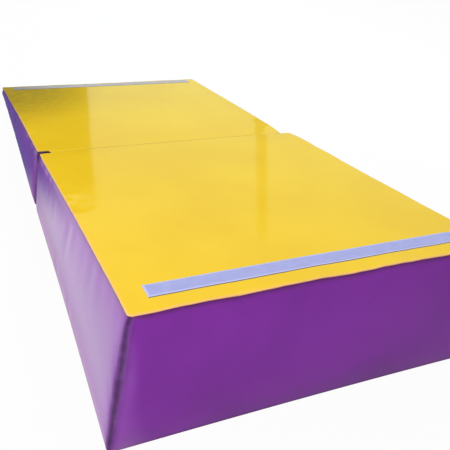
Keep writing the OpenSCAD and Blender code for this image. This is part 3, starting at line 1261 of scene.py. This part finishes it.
# floor, light and white surround
studio = {
    "floorColour": (0.74, 0.74, 0.74, 1),
    "floorGlow": 0.955,  # share of the floor that reads as plain white to the eye
    "floorReach": 40,
    "floorLevel": -0.0005,  # just under the part
    # painted reflection: colours that the floor glows with only in gloss, along the near block's left, in
    # front, and beside the low block
    "glossLeft": (1, 1, 1, 1), "glossFront": (0.24, 0.20, 0.24, 1), "glossBehind": (0.11, 0.14, 0.32, 1),
    "glossFrom": (-0.10, 0.36),  # where along the floor it falls away
    "glossNear": (-0.80, -0.68),  # and only close to the block
    "glossFoot": (0.72, 0.58, 0.72, 1),  # darker, purple-tinted painted reflection right under the near block's left wall
    "glossStep": (-0.60, -0.525),
    "worldFill": 0.40,
    "lamps": (
        ("keyLight", (-2.4, -2.2, 1.8), 1.8, 84, (1.0, 0.96, 0.92)),
        ("topLight", (1.5, 1.8, 3.2), 2.4, 128, (0.85, 1.0, 0.97)),
    ),
    # glowing boards beyond the low end, a painted reflection seen only in the gloss of the top: left,
    # right, bottom, top, y, colour
    "boards": (
        ("backWall", -7.0, 10.0, 0.0, 4.5, 5.06, (0.40, 0.57, 0.50, 1)),
        ("backDoor", -7.0, 0.85, 0.0, 1.62, 5.0, (0.04, 0.04, 0.04, 1)),
        ("backPost", 3.06, 3.22, 0.0, 2.35, 5.0, (0.14, 0.14, 0.14, 1)),
    ),
}


# 1 for rays that the eye follows, straight or by way of gloss or glass
def whiteRays(desk):
    path = desk.add("ShaderNodeLightPath").outputs
    soft = desk.math("ADD", path["Is Glossy Ray"], path["Is Transmission Ray"], clamp=True)
    return path["Is Camera Ray"], soft


def stagePiece(name, corners, material):
    bm = bmesh.new()
    bm.faces.new([bm.verts.new(corner) for corner in corners])
    piece = newPiece(name, bm, material)
    return piece


def makeWorld():
    world = bpy.data.worlds.new("studio")
    scene.world = world
    world.use_nodes = True
    desk = NodeDesk(world.node_tree)
    back = world.node_tree.nodes["Background"]
    back.inputs["Color"].default_value = (1, 1, 1, 1)
    share = desk.math("ADD", *whiteRays(desk), clamp=True)
    fill = studio["worldFill"]
    desk.feed(back.inputs["Strength"], desk.scaled(share, 1 - fill, fill))


def makeFloor():
    material, desk, shader = newMaterial("studioFloor")
    shader.inputs["Base Color"].default_value = studio["floorColour"]
    shader.inputs["Roughness"].default_value = 0.9
    shader.inputs["Specular IOR Level"].default_value = 0.0
    # painted reflection: in gloss the floor glows with these colours, set by place
    at = desk.add("ShaderNodeSeparateXYZ", {"Vector": desk.place()}).outputs
    toRight = desk.ramp(at[0], -halfWidth, -halfWidth + 0.1)
    toBack = desk.ramp(at[1], *studio["glossFrom"])
    toBlock = desk.ramp(at[0], *studio["glossNear"])
    toFoot = desk.ramp(at[0], *studio["glossStep"])
    colour = desk.mix(toFoot, studio["glossLeft"], studio["glossFoot"])
    colour = desk.mix(desk.math("MULTIPLY", toBack, toBlock), colour, studio["glossBehind"])
    colour = desk.mix(toRight, colour, studio["glossFront"])
    seen, soft = whiteRays(desk)
    glow = desk.add("ShaderNodeEmission", {"Color": desk.mix(seen, colour, (1, 1, 1, 1)), "Strength": 1.0})
    share = desk.scaled(seen, studio["floorGlow"], soft, clamp=True)
    mixed = desk.add("ShaderNodeMixShader", {0: share, 1: shader.outputs[0], 2: glow.outputs[0]})
    desk.feed(material.node_tree.nodes["Material Output"].inputs["Surface"], mixed.outputs[0])
    reach, level = studio["floorReach"], studio["floorLevel"]
    corners = ((-reach, -reach), (reach, -reach), (reach, reach), (-reach, reach))
    stagePiece("floor", [(x, y, level) for x, y in corners], material)


def makeBoard(name, left, right, bottom, top, back, colour):
    material, desk = newMaterial(name)[:2]
    # a glowing board, seen only in gloss as painted reflection
    glow = desk.add("ShaderNodeEmission", {"Color": colour, "Strength": 1.0})
    desk.feed(material.node_tree.nodes["Material Output"].inputs["Surface"], glow.outputs[0])
    corners = ((left, bottom), (right, bottom), (right, top), (left, top))
    board = stagePiece(name, [(x, back, z) for x, z in corners], material)
    board.visible_camera = False
    board.visible_diffuse = False
    board.visible_shadow = False


def makeLamp(name, place, size, power, colour):
    data = bpy.data.lights.new(name, "AREA")
    data.size = size
    data.energy = power
    data.color = colour
    lamp = bpy.data.objects.new(name, data)
    lamp.location = place
    aim = Vector((0, place[1] * 0.25, 0.2)) - Vector(place)
    lamp.rotation_euler = aim.to_track_quat("-Z", "Y").to_euler()
    lamp.visible_glossy = False
    scene.collection.objects.link(lamp)


makeWorld()
makeFloor()
for board in studio["boards"]:
    makeBoard(*board)
for lamp in studio["lamps"]:
    makeLamp(*lamp)
print("studio lit")
